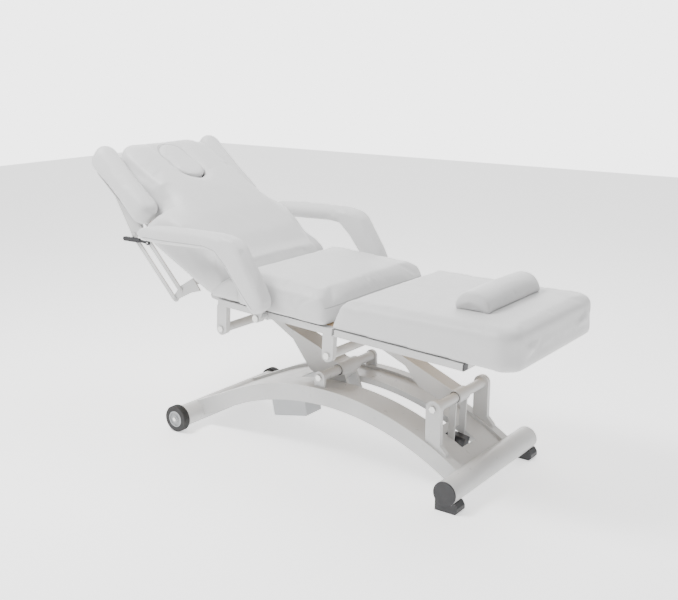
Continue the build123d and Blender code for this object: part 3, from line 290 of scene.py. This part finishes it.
def melt(obj, weight, rounds):
    """Smooths only where the weight function says so, to melt one form into another."""
    group = obj.vertex_groups.new(name="region")
    for vertex in obj.data.vertices:
        group.add([vertex.index], weight(vertex.co), "REPLACE")
    smooth = obj.modifiers.new("melt", "SMOOTH")
    smooth.factor = SMOOTH_STEP
    smooth.iterations = rounds
    smooth.vertex_group = group.name
    apply_modifiers(obj)
    obj.vertex_groups.clear()


CLOTH_FRAMES = 14
CLOTH_PRESSURE = 4.0
CLOTH_QUALITY = 4


def inflate(obj, cap, hold):
    """Swells the skin under pressure by at most cap, held back where it lies on its board."""
    rest = [v.co.copy() for v in obj.data.vertices]
    cloth = obj.modifiers.new("cloth", "CLOTH")
    cloth.settings.use_pressure = True
    cloth.settings.uniform_pressure_force = CLOTH_PRESSURE
    cloth.settings.effector_weights.gravity = 0.0
    cloth.settings.quality = CLOTH_QUALITY
    cloth.point_cache.frame_start = 1
    cloth.point_cache.frame_end = CLOTH_FRAMES
    scene = bpy.context.scene
    for step in range(1, CLOTH_FRAMES + 1):
        scene.frame_set(step)
    graph = bpy.context.evaluated_depsgraph_get()
    swollen = obj.evaluated_get(graph).to_mesh()
    moved = [v.co.copy() for v in swollen.vertices]
    obj.evaluated_get(graph).to_mesh_clear()
    obj.modifiers.clear()
    scene.frame_set(1)
    for vertex, start, end in zip(obj.data.vertices, rest, moved):
        step = end - start
        if step.length > cap:
            step = step.normalized() * cap
        vertex.co = start + step * hold(start)


def rise(value, low, high):
    """A smooth step from 0 at low to 1 at high."""
    share = min(1.0, max(0.0, (value - low) / (high - low)))
    return share * share * (3 - 2 * share)


def free(point):
    """Lets a loose cushion swell all round."""
    return 1.0


def seat_hold(point):
    """Holds the seat and leg cushions at their boards and frees them higher up."""
    return rise((point - seat_at(0, CUSHION_LOW)).dot(SEAT_UP), 0.015, 0.075)


def back_hold(point):
    """Holds the back cushion at its board and frees it towards its front face."""
    return rise((point - back_at(0, BACK_LOW)).dot(BACK_UP), 0.02, 0.10)


def plain(obj):
    """Leaves a skin as it is."""


def upholster(node, body, voxel, rounds, cap, hold, form=plain):
    """The soft visible form of a CAD cushion."""
    obj = new_object(node + "_soft", NODES[node].data.copy())
    soften(obj, voxel, rounds)
    form(obj)
    inflate(obj, cap, hold)
    obj.data.materials.clear()
    obj.data.materials.append(LEATHER)
    shade_smooth(obj.data)
    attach(obj, body)
    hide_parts(node)
    return obj


HEAD_END = 0.776                 # the head part's end along the back
HEAD_HALF = 0.252
HEAD_CORNER = 0.105              # radius of its corners in plan
SHOULDER_START = (0.02, 0.10)    # along the back, where the shoulders begin
SHOULDER_STOP = (0.40, 0.48)     # and where they have ended
SHOULDER_Y = (0.17, 0.23)
SHOULDER_N = (0.07, 0.11)
SHOULDER_ROUNDS = 140


def shoulder(point):
    """How far a point of the back cushion belongs to its shoulders, from 0 to 1."""
    away = point - BACK_ORIGIN
    along = away.dot(BACK_ALONG)
    out = away.dot(BACK_UP)
    return (rise(along, *SHOULDER_START) * (1 - rise(along, *SHOULDER_STOP))
            * rise(abs(point.y), *SHOULDER_Y) * rise(out, *SHOULDER_N))


def shape_back(obj):
    """Rounds the head's corners in plan and melts the shoulders into the head part."""
    corner_t = HEAD_END - HEAD_CORNER
    corner_y = HEAD_HALF - HEAD_CORNER
    for vertex in obj.data.vertices:
        dt = (vertex.co - BACK_ORIGIN).dot(BACK_ALONG) - corner_t
        dy = abs(vertex.co.y) - corner_y
        if dt > 0 and dy > 0:
            keep = max(dt, dy) / max((dt * dt + dy * dy) ** 0.5, 1e-6)
            vertex.co += BACK_ALONG * (dt * keep - dt)
            vertex.co.y *= (corner_y + dy * keep) / (corner_y + dy)
    melt(obj, shoulder, SHOULDER_ROUNDS)


SEAT_CROWN = 0.016
CROWN_RISE = (0.04, 0.10)        # heights above the board between which the crown sets in
CROWN_MIDDLE = 0.27
CROWN_REACH = 0.25


def shape_seat(obj):
    """Crowns the seat across its width and along its length."""
    for vertex in obj.data.vertices:
        share = rise((vertex.co - seat_at(0, CUSHION_LOW)).dot(SEAT_UP), *CROWN_RISE)
        widthwise = 1 - (vertex.co.y / CUSHION_HALF) ** 2
        along = (vertex.co - seat_at(0, 0)).dot(SEAT_ALONG)
        lengthwise = max(0.0, 1 - ((along - CROWN_MIDDLE) / CROWN_REACH) ** 2)
        vertex.co += SEAT_UP * SEAT_CROWN * share * widthwise * lengthwise


LEG_LEAN = 0.030
LEG_LEAN_HEIGHT = 0.09


def shape_leg(obj):
    """Leans the leg rest's sides in towards the bottom."""
    for vertex in obj.data.vertices:
        low = 1 - rise((vertex.co - seat_at(0, CUSHION_LOW)).dot(SEAT_UP), 0.0, LEG_LEAN_HEIGHT)
        vertex.co.y *= 1 - LEG_LEAN * low


seat = upholster("seat_cushion", "seat", voxel=0.008, rounds=26, cap=0.012, hold=seat_hold,
                 form=shape_seat)
upholster("leg_cushion", "leg_rest", voxel=0.009, rounds=12, cap=0.008, hold=seat_hold,
          form=shape_leg)
back = upholster("back_cushion", "back_rest", voxel=0.009, rounds=20, cap=0.008, hold=back_hold,
                 form=shape_back)
upholster("face_plug", "face_plug", voxel=0.006, rounds=4, cap=0.003, hold=free)
upholster("bolster", "bolster", voxel=0.006, rounds=10, cap=0.005, hold=free)
rests = {}
for side in ("left", "right"):
    upholster("side_pad_" + side, "side_pad_" + side, voxel=0.006, rounds=10, cap=0.006, hold=free)
    rests[side] = upholster("armrest_pad_" + side, "armrest_" + side, voxel=0.006, rounds=12, cap=0.004,
                            hold=free)

# the seat's rear slope, which the back sinks into as it rises
WEDGE_HALF = 0.334
wedge_outline = [base_at(0.236, 0.612), base_at(0.234, 0.645), base_at(0.326, 0.696),
                 base_at(0.372, 0.690), base_at(0.376, 0.606)]
wedge_mesh = bpy.data.meshes.new("seat_rear_slope")
shape = bmesh.new()
near = [shape.verts.new(p + Vector((0, -WEDGE_HALF, 0))) for p in wedge_outline]
far = [shape.verts.new(p + Vector((0, WEDGE_HALF, 0))) for p in wedge_outline]
shape.faces.new(near)
shape.faces.new(list(reversed(far)))
for i in range(len(near)):
    j = (i + 1) % len(near)
    shape.faces.new((near[j], near[i], far[i], far[j]))
bmesh.ops.recalc_face_normals(shape, faces=shape.faces)
shape.to_mesh(wedge_mesh)
wedge = new_object("seat_rear_slope", wedge_mesh)
soften(wedge, voxel=0.007, rounds=8)
wedge.data.materials.append(LEATHER)
shade_smooth(wedge.data)
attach(wedge, "seat")
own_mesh(wedge)

# ---------------------------------------------------------------- seams, coloured dark grey as painted shade of their grooves
SEAM_R = 0.0018
SEAM_SINK = 0.0006
PIPING_SINK = 0.001


def seam(name, target, body, starts, direction, closed=False, sink=SEAM_SINK):
    """A stitched seam laid on a cushion and coloured dark as painted shade of its groove: points are
    cast onto it along a direction.
    """
    tree = BVHTree.FromObject(target, bpy.context.evaluated_depsgraph_get())
    inverse = target.matrix_world.inverted()
    points = []
    for start in starts:
        hit, normal = tree.ray_cast(inverse @ start, inverse.to_3x3() @ direction)[:2]
        if hit is not None:
            points.append(target.matrix_world @ (hit - normal * sink))
    curve = bpy.data.curves.new(name, "CURVE")
    curve.dimensions = "3D"
    curve.bevel_depth = SEAM_R
    curve.bevel_resolution = 2
    line = curve.splines.new("POLY")
    line.points.add(len(points) - 1)
    for spot, point in zip(line.points, points):
        spot.co = (*point, 1.0)
    line.use_cyclic_u = closed
    obj = new_object(name, curve)
    # painted shade: the dark seam colour stands in for the shade of its groove
    curve.materials.append(PAINTED_GROOVE_SHADE)
    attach(obj, body)


# seam across the seat's nose, seen from in front of it
NOSE_HEIGHT = 0.182
NOSE_HALF = 0.326
NOSE_POINTS = 70
nose_line = [seat_at(OUTSIDE, NOSE_HEIGHT, NOSE_HALF * (2 * i / (NOSE_POINTS - 1) - 1))
             for i in range(NOSE_POINTS)]
seam("seat_nose_seam", seat, "seat", nose_line, seat_at(0, 0) - seat_at(1, 0))

# piping round the face opening
PLUG_T = 0.613
PLUG_HALF_LONG = 0.1175
PLUG_HALF_WIDE = 0.0715
PIPING_POINTS = 72


def slot_point(turn):
    """A point of the opening's outline: two half circles joined by straight sides."""
    straight = (PLUG_HALF_LONG - PLUG_HALF_WIDE) * (1 if cos(turn) > 0 else -1)
    return back_at(PLUG_T + straight + PLUG_HALF_WIDE * cos(turn), OVERHEAD, PLUG_HALF_WIDE * sin(turn))


ring = [slot_point(radians(360 * (i + 0.5) / PIPING_POINTS)) for i in range(PIPING_POINTS)]
seam("plug_piping", back, "back_rest", ring, -BACK_UP, closed=True, sink=PIPING_SINK)

# seam along the outer face of each arm rest, close to its lower edge
REST_LINE = [base_at(-0.03, 0.826), base_at(0.06, 0.824), base_at(0.20, 0.826), base_at(0.29, 0.827),
             base_at(0.345, 0.815), base_at(0.392, 0.772), base_at(0.460, 0.686), base_at(0.516, 0.622)]
REST_STEPS = 8


def denser(points, steps):
    """A polyline with extra points between its corners."""
    result = []
    for a, b in zip(points, points[1:]):
        result += [a.lerp(b, i / steps) for i in range(steps)]
    return result + [points[-1]]


for side, sign in (("left", 1), ("right", -1)):
    outside = [p + Vector((0, sign * OUTSIDE, 0)) for p in denser(REST_LINE, REST_STEPS)]
    seam("armrest_seam_" + side, rests[side], "armrest_" + side, outside, Vector((0, -sign, 0)))

# ---------------------------------------------------------------- floor and light
FLOOR_HALF = 9.0
FLOOR_GLOW = 1.1
floor_mesh = bpy.data.meshes.new("floor")
floor_mesh.from_pydata([(-FLOOR_HALF, -FLOOR_HALF, 0), (FLOOR_HALF, -FLOOR_HALF, 0),
                        (FLOOR_HALF, FLOOR_HALF, 0), (-FLOOR_HALF, FLOOR_HALF, 0)], [], [(0, 1, 2, 3)])
floor = new_object("floor", floor_mesh)
floor_material, _, floor_shader = new_material("pale floor", grey(0.93), rough=0.8)
floor_shader.inputs["Emission Color"].default_value = (1.0, 1.0, 1.0, 1.0)
floor_shader.inputs["Emission Strength"].default_value = FLOOR_GLOW
floor_mesh.materials.append(floor_material)

# white all round, brighter behind the bed as the camera sees it
WORLD_SIDE = 0.85
WORLD_BEHIND = 4.0
BEHIND = (-0.587, 0.810, 0.0)
BEHIND_FADE = (0.70, 0.92)       # cosines from that direction between which it brightens
world = bpy.data.worlds.new("studio")
bpy.context.scene.world = world
world.use_nodes = True
sky = world.node_tree
backdrop = sky.nodes["Background"]
backdrop.inputs["Color"].default_value = (1.0, 1.0, 1.0, 1.0)
bearing = sky.nodes.new("ShaderNodeTexCoord")
facing = sky.nodes.new("ShaderNodeVectorMath")
facing.operation = "DOT_PRODUCT"
facing.inputs[1].default_value = BEHIND
sky.links.new(bearing.outputs["Generated"], facing.inputs[0])
brighter = sky.nodes.new("ShaderNodeMapRange")
brighter.inputs["From Min"].default_value = BEHIND_FADE[0]
brighter.inputs["From Max"].default_value = BEHIND_FADE[1]
brighter.inputs["To Min"].default_value = WORLD_SIDE
brighter.inputs["To Max"].default_value = WORLD_BEHIND
sky.links.new(facing.outputs["Value"], brighter.inputs["Value"])
sky.links.new(brighter.outputs["Result"], backdrop.inputs["Strength"])


def area_light(name, place, target, size, power):
    """A soft square lamp aimed at a point."""
    data = bpy.data.lights.new(name, "AREA")
    data.shape = "SQUARE"
    data.size = size
    data.energy = power
    lamp = new_object(name, data)
    lamp.location = place
    lamp.rotation_euler = (Vector(target) - Vector(place)).to_track_quat("-Z", "Y").to_euler()


area_light("key", place=(-1.4, -1.6, 3.6), target=(0.0, 0.0, 0.6), size=1.3, power=200.0)
area_light("top", place=(0.6, 1.6, 3.8), target=(0.0, 0.0, 0.5), size=2.4, power=90.0)
